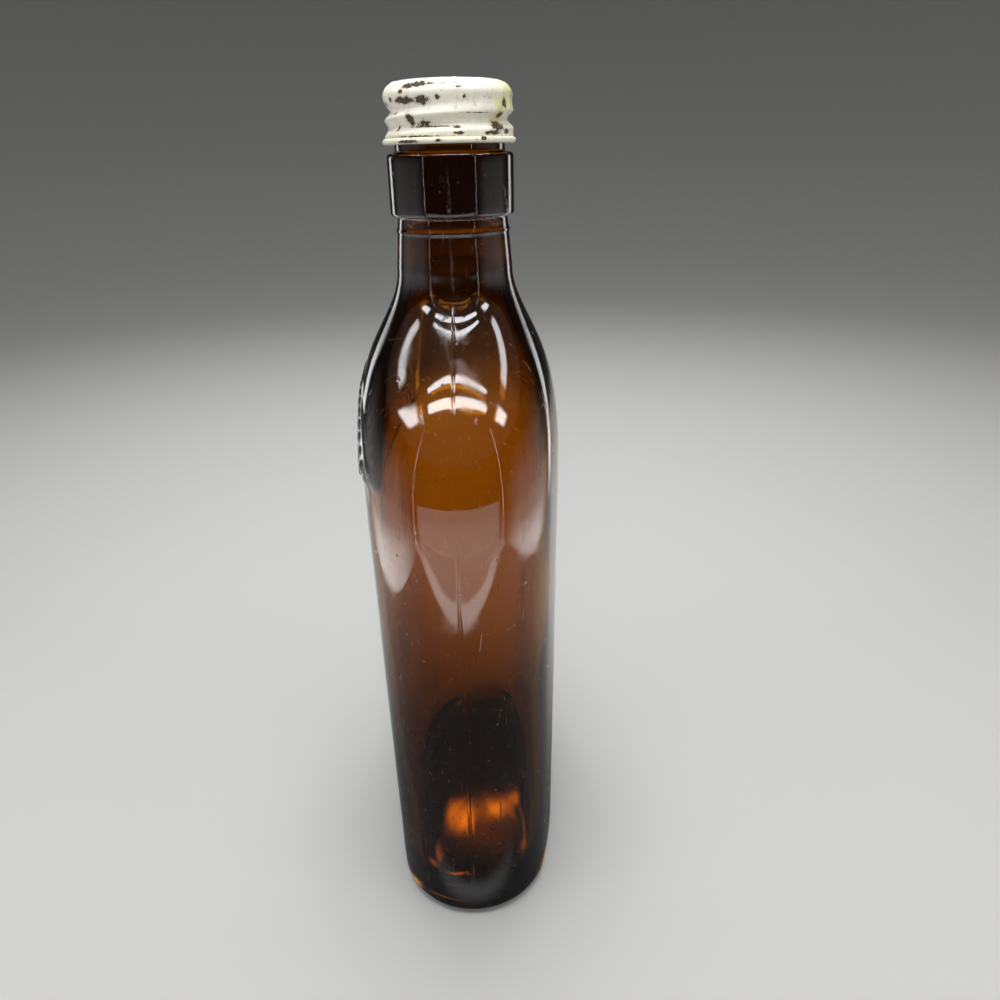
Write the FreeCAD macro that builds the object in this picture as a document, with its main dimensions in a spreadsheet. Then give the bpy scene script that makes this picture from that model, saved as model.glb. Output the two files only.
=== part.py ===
"""A flat liquor flask of amber glass with a rolled metal screw cap.

Millimetres. Z is up, X runs across the flask's width and Y through its thickness. The origin is the
middle of the base, on the surface that the flask stands on.
"""

import FreeCAD, Part
import math
import os

import Sketcher

# Driving dimensions: name, value and what it is.
SIZES = [
    ("body_width", 90.0, "widest, where the shoulders begin"),
    ("body_thickness", 49.5, "thickest, where the shoulders begin"),
    ("base_narrowing", 1.1, "each side of the base stands in by this much"),
    ("body_height", 113.5, "base to where the shoulders begin"),
    ("shoulder_rise", 54.5, "height of the shoulders, up to the round neck"),
    ("neck_length", 11.2, "neck, shoulders to collar"),
    ("collar_height", 13.1, "collar, bottom to top"),
    ("mouth_height", 13.4, "mouth, collar to lip"),
    ("neck_base_diameter", 27.2, "outside, at the foot of the neck"),
    ("neck_top_diameter", 25.3, "outside, just under the collar"),
    ("collar_diameter", 28.4, "collar, outside"),
    ("collar_round", 0.9, "radius of the collar's lower edge"),
    ("collar_top_round", 0.6, "radius of the collar's upper edge"),
    ("mouth_diameter", 24.6, "mouth, outside"),
    ("mouth_wall", 2.8, "glass of the mouth and neck"),
    ("lip_round", 1.4, "radius of the lip's outer edge"),
    ("bore_round", 0.7, "radius of the lip's inner edge"),
    ("wall", 3.3, "glass of the body"),
    ("floor_height", 6.0, "height of the cavity's floor"),
    ("heel_round", 3.5, "radius at the foot of the body"),
    ("cavity_round", 7.0, "radius at the foot of the cavity"),
    ("foot_width", 4.0, "flat ring that the flask stands on"),
    ("push_up", 2.4, "rise of the underside inside that ring"),
    ("ring_drop", 3.0, "the neck mould's ring, below the collar"),
    ("ring_relief", 0.25, "how far that ring stands out"),
    ("ring_round", 0.6, "radius of that ring's section"),
    ("thread_pitch", 3.175, "eight turns to the inch"),
    ("thread_turns", 1.25, "turns of the glass thread"),
    ("thread_relief", 0.55, "how far the glass thread stands out"),
    ("thread_width", 1.4, "height of the glass thread's section"),
    ("cap_metal", 0.5, "sheet of the cap"),
    ("cap_gap", 1.4, "room between the mouth and the cap's skirt"),
    ("cap_lift", 1.7, "room between the collar and the cap"),
    ("bead_height", 1.4, "curled edge of the cap, bottom to top"),
    ("bead_reach", 0.6, "how far the curled edge stands out of the skirt"),
    ("groove_lift", 1.4, "lower end of the groove, above the curled edge"),
    ("groove_turns", 1.15, "turns of the groove rolled into the cap"),
    ("groove_land", 0.0875, "half of what is left between the groove's turns, inside"),
    ("thread_play", 0.3, "room between the metal that the groove pushes in and the mouth"),
]

# The body's oval is four arcs: the two end arcs reach SIDE_ARC degrees from the width axis.
SIDE_ARC = 76.0
# Up the shoulder, with t from 0 to 1, a half width falls from body to neck as (1 - t^bend)^ease.
# The narrow sides reach the neck's width at a share of the rise, the faces at the top.
SIDE_BEND, SIDE_EASE, SIDE_REACH = 2.6, 1.9, 0.954
FACE_BEND, FACE_EASE = 4.0, 2.3
FOOT_STEPS = 5
SHOULDER_STEPS = 9
DOME_TURNS = (0.0, 25.0, 50.0, 70.0)  # degrees up the hollow under the base, from its rim
RIDGE_LEAD = 12.0  # degrees
UPWARDS = FreeCAD.Vector(0, 0, 1)
ORIGIN, START, END, CENTRE = -1, 1, 2, 3  # a sketch's names for its origin and for the points of an edge

doc = FreeCAD.newDocument("LiquorFlask")


class Length:
    """A length worked out from the sheet: its number, and the same sum as an expression."""

    def __init__(self, number, text):
        self.number = number
        self.text = text

    def __add__(self, other):
        return Length(self.number + other.number, f"({self.text} + {other.text})")

    def __sub__(self, other):
        return Length(self.number - other.number, f"({self.text} - {other.text})")

    def __mul__(self, factor):
        return Length(self.number * factor, f"{self.text} * {factor:.9f}")

    def __truediv__(self, divisor):
        return self * (1 / divisor)

    def __neg__(self):
        return self * -1


def make_sheet():
    """The spreadsheet that holds the driving dimensions, each as a Length."""
    sheet = doc.addObject("Spreadsheet::Sheet", "Sizes")
    for row, (name, value, note) in enumerate(SIZES, start=1):
        sheet.set(f"A{row}", name)
        sheet.set(f"B{row}", str(value))
        sheet.set(f"C{row}", note)
        sheet.setAlias(f"B{row}", name)
    doc.recompute()
    return {name: Length(float(sheet.get(name)), f"Sizes.{name}") for name, _, _ in SIZES}


size = make_sheet()
ZERO = Length(0.0, "0")
ONE_TURN = Length(1.0, "1")

# Heights, one on top of the other
neck_base = size["body_height"] + size["shoulder_rise"]
collar_base = neck_base + size["neck_length"]
collar_top = collar_base + size["collar_height"]
lip = collar_top + size["mouth_height"]
cap_foot = collar_top + size["cap_lift"]
groove_start = cap_foot + size["bead_height"] + size["groove_lift"]

# Radii that fit one another
mouth = size["mouth_diameter"] / 2
bore = mouth - size["mouth_wall"]
cap_inside = mouth + size["cap_gap"]
cap_outside = cap_inside + size["cap_metal"]
groove_radius = size["thread_pitch"] / 2 - size["cap_metal"] - size["groove_land"]
groove_centre = mouth + size["thread_play"] + size["cap_metal"] + groove_radius


def origin_feature(body, role):
    """One of a body's own origin planes or axes."""
    return next(feature for feature in body.Origin.OriginFeatures if feature.Role == role)


def new_body(name):
    """A sub-part."""
    body = doc.addObject("PartDesign::Body", name)
    body.Label = name
    return body


def new_sketch(body, name, plane="YZ_Plane", lift=None, turn=0.0):
    """A sketch on one of a body's origin planes, lifted off it, or turned about its own upright."""
    sketch = body.newObject("Sketcher::SketchObject", name)
    sketch.AttachmentSupport = [(origin_feature(body, plane), "")]
    sketch.MapMode = "FlatFace"
    upright = FreeCAD.Vector(0, 1, 0)
    sketch.AttachmentOffset = FreeCAD.Placement(FreeCAD.Vector(), FreeCAD.Rotation(upright, turn))
    if lift is not None:
        sketch.setExpression("AttachmentOffset.Base.z", lift.text)
    return sketch


def fix(sketch, direction, edge, point, length):
    """Ties one coordinate of a point of a sketch to a Length. Direction is X or Y."""
    constraint = Sketcher.Constraint(f"Distance{direction}", ORIGIN, START, edge, point, length.number)
    number = sketch.addConstraint(constraint)
    sketch.setExpression(f"Constraints[{number}]", length.text)


def outline(sketch, points):
    """A closed outline of points (x, y), or (x, y, centre x, centre y) where a quarter arc leads on."""
    spots = [FreeCAD.Vector(point[0].number, point[1].number, 0) for point in points]
    ends = []
    for number, point in enumerate(points):
        start = spots[number]
        end = spots[(number + 1) % len(points)]
        ends.append((START, END))
        if len(point) == 2:
            sketch.addGeometry(Part.LineSegment(start, end), False)
            continue
        centre = FreeCAD.Vector(point[2].number, point[3].number, 0)
        if (start - centre).cross(end - centre).z < 0:
            start, end = end, start
            ends[-1] = (END, START)
        full = Part.Circle(centre, UPWARDS, (start - centre).Length)
        low = math.atan2(start.y - centre.y, start.x - centre.x)
        high = math.atan2(end.y - centre.y, end.x - centre.x)
        sketch.addGeometry(Part.ArcOfCircle(full, low, high), False)
    for number, point in enumerate(points):
        following = (number + 1) % len(points)
        meeting = (number, ends[number][1], following, ends[following][0])
        sketch.addConstraint(Sketcher.Constraint("Coincident", *meeting))
        fix(sketch, "X", number, ends[number][0], point[0])
        fix(sketch, "Y", number, ends[number][0], point[1])
        if len(point) == 4:
            fix(sketch, "Y", number, CENTRE, point[3])


def circle(sketch, x, y, radius):
    """A full circle."""
    centre = FreeCAD.Vector(x.number, y.number, 0)
    sketch.addGeometry(Part.Circle(centre, UPWARDS, radius.number), False)
    number = sketch.addConstraint(Sketcher.Constraint("Radius", 0, radius.number))
    sketch.setExpression(f"Constraints[{number}]", radius.text)
    fix(sketch, "X", 0, CENTRE, x)
    fix(sketch, "Y", 0, CENTRE, y)


def add_feature(body, kind, name, profile):
    """A feature made from a profile."""
    feature = body.newObject(f"PartDesign::{kind}", name)
    feature.Profile = profile
    feature.Refine = False
    return feature


def revolve(body, name, profile, kind="Revolution"):
    """A profile turned once round the flask's axis."""
    feature = add_feature(body, kind, name, profile)
    feature.ReferenceAxis = (origin_feature(body, "Z_Axis"), [""])
    feature.Angle = 360
    return feature


def wind(body, name, profile, turns, kind):
    """A profile wound up the flask's axis as a right-handed screw."""
    feature = add_feature(body, kind, name, profile)
    feature.ReferenceAxis = (origin_feature(body, "Z_Axis"), [""])
    feature.Mode = "pitch-turns-angle"
    feature.setExpression("Pitch", size["thread_pitch"].text)
    feature.setExpression("Turns", turns.text)
    return feature


def loft(body, name, sections, kind):
    """A solid through a list of sections, added to the body or cut from it."""
    feature = add_feature(body, kind, name, sections[0])
    feature.Sections = sections[1:]
    feature.Ruled = False
    return feature


# The glass


def oval(body, name, half_width, half_thickness, height):
    """A four-arc oval, tangent all round. With equal halves it is a circle."""
    reach = math.radians(SIDE_ARC)
    slope = math.cos(reach) / (1 - math.sin(reach))
    end_radius = (half_thickness * slope - half_width) / (slope - 1)
    end_centre = half_width - end_radius
    face_centre = end_centre * math.tan(reach)
    x = end_centre + end_radius * math.cos(reach)
    y = end_radius * math.sin(reach)
    corners = [(x, -y), (x, y), (-x, y), (-x, -y)]
    middles = [(half_width, ZERO), (ZERO, half_thickness), (-half_width, ZERO), (ZERO, -half_thickness)]
    centres = [("X", end_centre), ("Y", -face_centre), ("X", -end_centre), ("Y", face_centre)]
    sketch = new_sketch(body, name, "XY_Plane", height)
    spots = [FreeCAD.Vector(spot[0].number, spot[1].number, 0) for spot in corners + middles]
    for n in range(4):
        sketch.addGeometry(Part.Arc(spots[n], spots[4 + n], spots[(n + 1) % 4]), False)
    for n in range(4):
        sketch.addConstraint(Sketcher.Constraint("Coincident", n, END, (n + 1) % 4, START))
        fix(sketch, "X", n, START, corners[n][0])
        fix(sketch, "Y", n, START, corners[n][1])
        fix(sketch, centres[n][0], n, CENTRE, centres[n][1])
    return sketch


def flask_lofts(body, name, glass, floor, foot_round, neck_radius, kind):
    """Lofts a rounded foot, a straight body and the shoulders, a thickness of glass inside the outside."""
    width = size["body_width"] / 2 - glass
    thickness = size["body_thickness"] / 2 - glass
    foot_top = floor + foot_round
    straight = size["body_height"] - foot_top
    narrow = size["base_narrowing"] * (straight.number / size["body_height"].number)
    foot, shoulder = [], []
    for step in range(FOOT_STEPS + 1):
        turn = math.radians(90 * step / FOOT_STEPS)
        inset = narrow + foot_round * (1 - math.sin(turn))
        height = floor + foot_round * (1 - math.cos(turn))
        foot.append(oval(body, f"{name}Foot{step}", width - inset, thickness - inset, height))
    for step in range(SHOULDER_STEPS + 1):
        part = step / SHOULDER_STEPS
        side = (1 - min(part / SIDE_REACH, 1.0) ** SIDE_BEND) ** SIDE_EASE
        face = (1 - part**FACE_BEND) ** FACE_EASE
        half_width = neck_radius + (width - neck_radius) * side
        half_thickness = neck_radius + (thickness - neck_radius) * face
        height = size["body_height"] + size["shoulder_rise"] * part
        shoulder.append(oval(body, f"{name}Shoulder{step}", half_width, half_thickness, height))
    loft(body, f"{name}Foot", foot, kind)
    loft(body, f"{name}Body", [foot[-1], shoulder[0]], kind)
    loft(body, f"{name}Shoulders", shoulder, kind)


def neck_profile(body):
    """Half of the neck, the collar and the mouth, as solid glass."""
    collar = size["collar_diameter"] / 2
    under, over, edge = size["collar_round"], size["collar_top_round"], size["lip_round"]
    points = [
        (ZERO, neck_base),
        (size["neck_base_diameter"] / 2, neck_base),
        (size["neck_top_diameter"] / 2, collar_base),
        (collar - under, collar_base, collar - under, collar_base + under),
        (collar, collar_base + under),
        (collar, collar_top - over, collar - over, collar_top - over),
        (collar - over, collar_top),
        (mouth, collar_top),
        (mouth, lip - edge, mouth - edge, lip - edge),
        (mouth - edge, lip),
        (ZERO, lip),
    ]
    sketch = new_sketch(body, "NeckProfile")
    outline(sketch, points)
    return sketch


def bore_profile(body):
    """Half of what the bore takes away: the neck's inside, flared where it meets the rounded lip."""
    edge = size["bore_round"]
    points = [
        (ZERO, neck_base),
        (bore, neck_base),
        (bore, lip - edge, bore + edge, lip - edge),
        (bore + edge, lip),
        (bore + edge, lip + edge),
        (ZERO, lip + edge),
    ]
    sketch = new_sketch(body, "BoreProfile")
    outline(sketch, points)
    return sketch


def ring_profile(body):
    """The neck mould's ring: a circle that stands a little out of the tapering neck."""
    drop = size["ring_drop"]
    taper = (size["neck_base_diameter"] - size["neck_top_diameter"]) / 2
    neck = size["neck_top_diameter"] / 2 + taper * (drop.number / size["neck_length"].number)
    sketch = new_sketch(body, "RingProfile")
    centre = neck + size["ring_relief"] - size["ring_round"]
    circle(sketch, centre, collar_base - drop, size["ring_round"])
    return sketch


def thread_profile(body):
    """A low triangular ridge with its foot inside the glass, halfway between the turns of the cap's."""
    half = size["thread_width"] / 2
    foot = size["thread_relief"] - mouth
    tip = -mouth - size["thread_relief"]
    middle = groove_start + size["thread_pitch"] / 2
    sketch = new_sketch(body, "ThreadProfile")
    outline(sketch, [(foot, middle - half), (foot, middle + half), (tip, middle)])
    return sketch


def dome_sections(body):
    """Ovals of the hollow under the base, from the ring up to its roof."""
    rim = size["base_narrowing"] + size["heel_round"] + size["foot_width"]
    half_width = size["body_width"] / 2 - rim
    half_thickness = size["body_thickness"] / 2 - rim
    sections = []
    for step, degrees in enumerate(DOME_TURNS):
        turn = math.radians(degrees)
        part = math.cos(turn)
        rise = size["push_up"] * math.sin(turn)
        sections.append(oval(body, f"Dome{step}", half_width * part, half_thickness * part, rise))
    return sections


def make_glass():
    """The flask itself."""
    body = new_body("flask_glass")
    foot = size["neck_base_diameter"] / 2
    flask_lofts(body, "Outer", ZERO, ZERO, size["heel_round"], foot, "AdditiveLoft")
    revolve(body, "Neck", neck_profile(body))
    revolve(body, "NeckRing", ring_profile(body))
    wind(body, "Thread", thread_profile(body), size["thread_turns"], "AdditiveHelix")
    wall, floor = size["wall"], size["floor_height"]
    flask_lofts(body, "Inner", wall, floor, size["cavity_round"], bore, "SubtractiveLoft")
    revolve(body, "Bore", bore_profile(body), "Groove")
    loft(body, "PushUp", dome_sections(body), "SubtractiveLoft")
    return body


# The cap


def shell_profile(body):
    """Half of the cap's shell. Its top edge is bent about the same centre as the lip's."""
    bend = mouth - size["lip_round"]
    over = lip + size["cap_metal"]
    turn = lip - (cap_inside - bend)
    points = [
        (cap_inside, cap_foot),
        (cap_outside, cap_foot),
        (cap_outside, turn, bend, turn),
        (bend, over),
        (ZERO, over),
        (ZERO, lip),
        (bend, lip, bend, turn),
        (cap_inside, turn),
    ]
    sketch = new_sketch(body, "ShellProfile")
    outline(sketch, points)
    return sketch


def bead_profile(body):
    """The curled edge at the foot of the skirt."""
    radius = size["bead_height"] / 2
    sketch = new_sketch(body, "BeadProfile")
    circle(sketch, cap_outside + size["bead_reach"] - radius, cap_foot + radius, radius)
    return sketch


def ridge_profile(body):
    """The metal that the groove pushes in: a segment of a circle, with its chord inside the skirt.

    It leads the groove by RIDGE_LEAD at both ends, so that the groove doesn't open into the cap.
    """
    height = groove_start - size["thread_pitch"] * (RIDGE_LEAD / 360)
    radius = groove_radius + size["cap_metal"]
    chord = cap_outside - size["cap_metal"] / 2
    half = math.acos((chord - groove_centre).number / radius.number)
    middle = FreeCAD.Vector(-groove_centre.number, height.number, 0)
    full = Part.Circle(middle, UPWARDS, radius.number)
    sketch = new_sketch(body, "RidgeProfile", turn=-RIDGE_LEAD)
    sketch.addGeometry(Part.ArcOfCircle(full, half - math.pi, math.pi - half), False)
    arc = sketch.Geometry[0]
    sketch.addGeometry(Part.LineSegment(arc.EndPoint, arc.StartPoint), False)
    for first, second in ((0, 1), (1, 0)):
        sketch.addConstraint(Sketcher.Constraint("Coincident", first, END, second, START))
    number = sketch.addConstraint(Sketcher.Constraint("Radius", 0, radius.number))
    sketch.setExpression(f"Constraints[{number}]", radius.text)
    fix(sketch, "X", 0, CENTRE, -groove_centre)
    fix(sketch, "Y", 0, CENTRE, height)
    fix(sketch, "X", 0, START, -chord)
    fix(sketch, "X", 0, END, -chord)
    return sketch


def groove_profile(body):
    """The roll that presses the groove into the skirt."""
    sketch = new_sketch(body, "GrooveProfile")
    circle(sketch, -groove_centre, groove_start, groove_radius)
    return sketch


def make_cap():
    """The screw cap."""
    body = new_body("screw_cap")
    revolve(body, "Shell", shell_profile(body))
    revolve(body, "Bead", bead_profile(body))
    ridge_turns = size["groove_turns"] + ONE_TURN * (2 * RIDGE_LEAD / 360)
    wind(body, "Ridge", ridge_profile(body), ridge_turns, "AdditiveHelix")
    wind(body, "Groove", groove_profile(body), size["groove_turns"], "SubtractiveHelix")
    return body


def write(body):
    """Checks a sub-part and writes it to its file."""
    shape = body.Shape
    if shape.isNull() or not shape.isValid() or len(shape.Solids) != 1:
        raise RuntimeError(f"{body.Label} is not one valid solid")
    shape.exportStep(f"parts/{body.Label}.step")
    box = shape.BoundBox
    print(f"{body.Label}: {shape.Volume:.0f} mm3, {box.ZMin:.2f} to {box.ZMax:.2f} high")


sub_parts = [make_glass(), make_cap()]
doc.recompute()
failed = [thing.Name for thing in doc.Objects if {"Invalid", "Error"} & set(thing.State)]
if failed:
    raise RuntimeError(f"failed: {', '.join(failed)}")
os.makedirs("parts", exist_ok=True)
for sub_part in sub_parts:
    write(sub_part)
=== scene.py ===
"""Looks for a flat liquor flask: its amber glass, its worn screw cap and a plain pale studio.

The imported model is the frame. Metres, Z up, X across the flask's width, Y through its thickness.
"""

import math
import random

import bpy
import numpy as np
from mathutils import Matrix, Vector, noise


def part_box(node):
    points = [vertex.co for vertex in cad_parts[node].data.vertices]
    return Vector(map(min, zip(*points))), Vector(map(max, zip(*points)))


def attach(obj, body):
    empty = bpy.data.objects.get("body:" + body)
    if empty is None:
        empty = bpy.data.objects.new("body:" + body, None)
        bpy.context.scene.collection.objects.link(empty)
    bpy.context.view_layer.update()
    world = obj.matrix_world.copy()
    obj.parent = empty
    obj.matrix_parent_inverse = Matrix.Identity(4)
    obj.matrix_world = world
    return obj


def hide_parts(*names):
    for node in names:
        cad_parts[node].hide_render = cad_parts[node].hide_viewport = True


bl_info = {
    "name": "Liquor flask",
    "version": (1, 0, 0),
    "blender": (4, 5, 0),
    "location": "3D View > Sidebar > Flask",
    "description": "Makes the looks of an amber liquor flask and its screw cap round the packed model",
    "category": "Object",
}

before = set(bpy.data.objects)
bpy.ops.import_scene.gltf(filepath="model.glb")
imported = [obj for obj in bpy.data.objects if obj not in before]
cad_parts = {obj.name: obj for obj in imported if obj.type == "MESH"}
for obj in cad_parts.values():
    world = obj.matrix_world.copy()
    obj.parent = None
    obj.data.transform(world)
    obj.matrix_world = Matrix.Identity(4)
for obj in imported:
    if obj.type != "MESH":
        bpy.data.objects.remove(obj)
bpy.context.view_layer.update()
_, glass_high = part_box("flask_glass")
cap_low, cap_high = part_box("screw_cap")

MM = 0.001
FULL_TURN = 2 * math.pi
ORNATE_FACE = -0.5 * math.pi  # turn round the axis, from the near seam to the middle of that face


def size(name, millimetres, note):
    """A length that a user may change."""
    return bpy.props.FloatProperty(name=name, description=note, default=millimetres * MM, unit="LENGTH")


def colour(name, value, note):
    """A colour that a user may change."""
    return bpy.props.FloatVectorProperty(
        name=name, description=note, default=value, subtype="COLOR", min=0.0, max=1.0
    )


def angle(name, degrees, note):
    """An angle that a user may change."""
    return bpy.props.FloatProperty(
        name=name, description=note, default=math.radians(degrees), subtype="ANGLE"
    )


def number(name, value, note):
    """A plain number that a user may change."""
    return bpy.props.FloatProperty(name=name, description=note, default=value)


class FlaskGlassSizes(bpy.types.PropertyGroup):
    """Sizes of the glass that its box in the frame doesn't give."""

    straight_height: size("Straight height", 113.5, "Base to where the shoulders begin")
    shoulder_rise: size("Shoulder rise", 54.5, "Height of the shoulders, up to the round neck")
    base_narrowing: size("Base narrowing", 1.1, "Each side of the base stands in by this much")
    heel_round: size("Heel round", 3.5, "Radius at the foot of the body")
    foot_width: size("Foot width", 4.0, "Ring that the flask stands on")
    push_up: size("Push-up", 2.4, "Rise of the underside inside that ring")
    neck_foot: size("Neck foot radius", 13.6, "Outside, where the shoulders end")
    neck_top: size("Neck top radius", 12.65, "Outside, just under the collar")
    neck_length: size("Neck length", 11.2, "Shoulders to collar")
    ring_drop: size("Ring drop", 3.0, "The neck ring's distance under the collar")
    ring_relief: size("Ring relief", 0.28, "How far the neck ring stands out")
    collar_radius: size("Collar radius", 14.2, "Collar, outside")
    collar_height: size("Collar height", 13.1, "Collar, bottom to top")
    collar_round: size("Collar round", 0.9, "Radius of the collar's edges")
    mouth_radius: size("Mouth radius", 12.3, "Mouth, outside")
    lip_round: size("Lip round", 1.4, "Radius of the lip's outer edge")
    bore_radius: size("Bore radius", 9.5, "Inside of the neck")
    bore_round: size("Bore round", 0.7, "Radius of the lip's inner edge")
    floor_height: size("Floor height", 6.0, "Height of the cavity's floor")
    cavity_round: size("Cavity round", 7.0, "Radius at the foot of the cavity")
    thin_wall: size("Thin wall", 2.5, "Glass where the body is thinnest, at the foot of the shoulders")
    thick_wall: size("Thick wall", 3.6, "Glass low in the body and high on the shoulders")
    thread_pitch: size("Thread pitch", 3.175, "Rise of one turn of the glass thread")
    thread_relief: size("Thread relief", 0.5, "How far the glass thread stands out")
    seam_relief: size("Seam relief", 0.17, "How far the mould seams stand out")
    panel_relief: size("Panel relief", 0.85, "How far the ornate shoulder stands out")
    bead_relief: size("Bead relief", 0.55, "How far the ornament's beads stand out of the shoulder")
    outer_waves: size("Outer waves", 0.035, "Unevenness of the outside")
    floor_waves: size("Floor waves", 0.9, "Unevenness of the inside of the base")
    floor_grain: size("Floor grain", 0.108, "Fine unevenness of the inside of the base")
    inner_waves: size("Inner waves", 0.38, "Unevenness of the inside")
    throat_waves: size("Throat waves", 0.14, "Unevenness of the inside of the neck")


class ScrewCapSizes(bpy.types.PropertyGroup):
    """Sizes of the cap that its box in the frame doesn't give."""

    skirt_radius: size("Skirt radius", 14.2, "Outside of the skirt")
    metal: size("Metal", 0.4, "Sheet of the cap")
    top_bend: size("Top bend", 3.3, "Radius of the top's edge")
    bead_round: size("Bead round", 0.62, "Radius of the curled edge's section")
    groove_depth: size("Groove depth", 1.35, "How far the rolled groove goes in")
    groove_half_width: size("Groove half width", 1.85, "Middle of the groove to its edge")
    groove_pitch: size("Groove pitch", 3.175, "Rise of one turn of the groove")
    groove_lift: size("Groove lift", 3.2, "Lower end of the groove, above the cap's foot")
    band_lift: size("Hollow band lift", 8.2, "Cap's foot to the middle of the band under the top's edge")
    band_depth: size("Hollow band depth", 0.22, "How far the band goes in")
    dents: size("Dents", 0.11, "Unevenness of the sheet")
    crust: size("Crust", 0.2, "Height of the blisters in the enamel")
    top_sink: size("Top sink", 0.125, "How far the middle of the top lies under its edge")


class FlaskColours(bpy.types.PropertyGroup):
    """Colours of the flask."""

    amber_tint: colour("Amber tint", (0.93, 0.6, 0.09), "What each face of the glass lets through")
    amber: colour("Amber", (0.64, 0.45, 0.08), "What the depth of the glass lets through")
    amber_density: number("Amber density", 470.0, "Absorption of the glass, per metre")
    enamel: colour("Enamel", (0.87, 0.84, 0.73), "Paint of the cap")
    enamel_shade: colour("Worn enamel", (0.62, 0.56, 0.47), "Paint that is rubbed or dirty")
    bare_metal: colour("Bare metal", (0.045, 0.035, 0.022), "Rusted metal under the paint")
    rust: colour("Rust", (0.42, 0.28, 0.14), "Stain round a chip")
    yellowing: colour("Yellowing", (0.70, 0.69, 0.26), "Stain on one side of the cap")


class FlaskStage(bpy.types.PropertyGroup):
    """The studio and the camera."""

    camera_distance: size("Camera distance", 185.4, "From the flask's axis, level")
    camera_side: size("Camera side", 9.47, "Sideways from the flask's axis")
    camera_height: size("Camera height", 191.7, "Above the floor")
    camera_tilt: angle("Camera tilt", 24.7, "Down from level")
    camera_roll: angle("Camera roll", 1.25, "About the view")
    camera_lens: number("Camera lens", 27.04, "Focal length in millimetres, on a sensor 36 wide")
    floor_radius: size("Floor radius", 900.0, "Flat part of the floor")
    cove_radius: size("Cove radius", 900.0, "Bend up from the floor to the wall")
    floor_colour: colour("Floor", (0.46, 0.46, 0.45), "Floor and cove")
    # Painted shade: a darker floor that shows only in reflections and through the glass
    floor_shade: colour("Floor in the glass", (0.12, 0.12, 0.12), "Floor near and far, as the glass shows it")
    overhead_glow: number("Overhead lamp", 11.5, "Brightness of the soft lamp overhead")
    strip_glow: number("Long lamps", 17.0, "Brightness of the long lamps")
    card_glow: number("Pale cards", 1.0, "Brightness of the cards that show in the glass")
    room_light: number("Room light", 0.15, "Strength of the light from all round")


# Meshes


def deselect():
    """Leaves nothing selected."""
    bpy.ops.object.select_all(action="DESELECT")


def draw_profile(name, points):
    """A chain of edges in the XZ plane, drawn from point to point, that knows its stations."""
    deselect()
    bpy.ops.mesh.primitive_plane_add(size=MM)
    piece = bpy.context.object
    piece.name = piece.data.name = name
    bpy.ops.object.mode_set(mode="EDIT")
    bpy.ops.mesh.merge(type="CENTER")
    place = Vector((0, 0, 0))
    for step, (x, z) in enumerate(points):
        move = Vector((x, 0, z)) - place
        if step == 0:
            bpy.ops.transform.translate(value=move)
        else:
            bpy.ops.mesh.extrude_region_move(TRANSFORM_OT_translate={"value": move})
        place += move
    bpy.ops.object.mode_set(mode="OBJECT")
    drawn = places(piece)[:, ::2]
    gaps = np.linalg.norm(drawn[:, None] - np.array(points), axis=2)
    station = piece.data.attributes.new("station", "FLOAT", "POINT")
    station.data.foreach_set("value", gaps.argmin(axis=1).astype(np.float32))
    return piece


def spin_profile(piece, steps):
    """Turns a profile once round the flask's axis into a closed shell."""
    bpy.ops.object.mode_set(mode="EDIT")
    bpy.ops.mesh.select_all(action="SELECT")
    bpy.ops.mesh.spin(steps=steps, angle=FULL_TURN, center=(0, 0, 0), axis=(0, 0, 1))
    bpy.ops.mesh.select_all(action="SELECT")
    bpy.ops.mesh.remove_doubles(threshold=0.001 * MM)
    bpy.ops.mesh.normals_make_consistent(inside=False)
    bpy.ops.object.mode_set(mode="OBJECT")


def subdivide_faces(piece, chosen, cuts):
    """Cuts the chosen faces finer. Chosen is a True or False for each face."""
    bpy.ops.object.mode_set(mode="EDIT")
    bpy.ops.mesh.select_mode(type="FACE")
    bpy.ops.mesh.select_all(action="DESELECT")
    bpy.ops.object.mode_set(mode="OBJECT")
    piece.data.polygons.foreach_set("select", chosen)
    bpy.ops.object.mode_set(mode="EDIT")
    bpy.ops.mesh.subdivide(number_cuts=cuts)
    bpy.ops.mesh.select_mode(type="VERT")
    bpy.ops.object.mode_set(mode="OBJECT")


def places(piece):
    """The places of a piece's vertices, as rows."""
    spots = np.zeros(len(piece.data.vertices) * 3)
    piece.data.vertices.foreach_get("co", spots)
    return spots.reshape(-1, 3)


def put(piece, spots):
    """Moves a piece's vertices to new places."""
    piece.data.vertices.foreach_set("co", spots.astype(np.float32).ravel())
    piece.data.update()


def stations_of(piece):
    """Each vertex's place along the profile that it was spun from."""
    values = np.zeros(len(piece.data.vertices))
    piece.data.attributes["station"].data.foreach_get("value", values)
    return values


def smooth_step(value, low, high):
    """0 under low, 1 over high, and a smooth rise between. High may be the smaller."""
    part = np.clip((value - low) / (high - low), 0, 1)
    return part * part * (3 - 2 * part)


NOISE_GAIN = 1.6  # plain noise only reaches about 0.6


def waves(spots, scale, stretch=(1, 1, 1), seed=0.0):
    """Smooth noise between about -1 and 1 at each place. Scale is the size of a wave."""
    shift = Vector((seed, -seed, 2 * seed))
    stretched = spots / (np.array(stretch) * scale)
    return np.array([noise.noise(Vector(spot) + shift) for spot in stretched]) * NOISE_GAIN


def finish_piece(piece, node, material):
    """Smooth faces, a material, and its part in the frame."""
    deselect()
    piece.select_set(True)
    bpy.context.view_layer.objects.active = piece
    bpy.ops.object.shade_smooth()
    piece.data.materials.clear()
    piece.data.materials.append(material)
    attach(piece, "root")
    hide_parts(node)


# The glass

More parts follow.
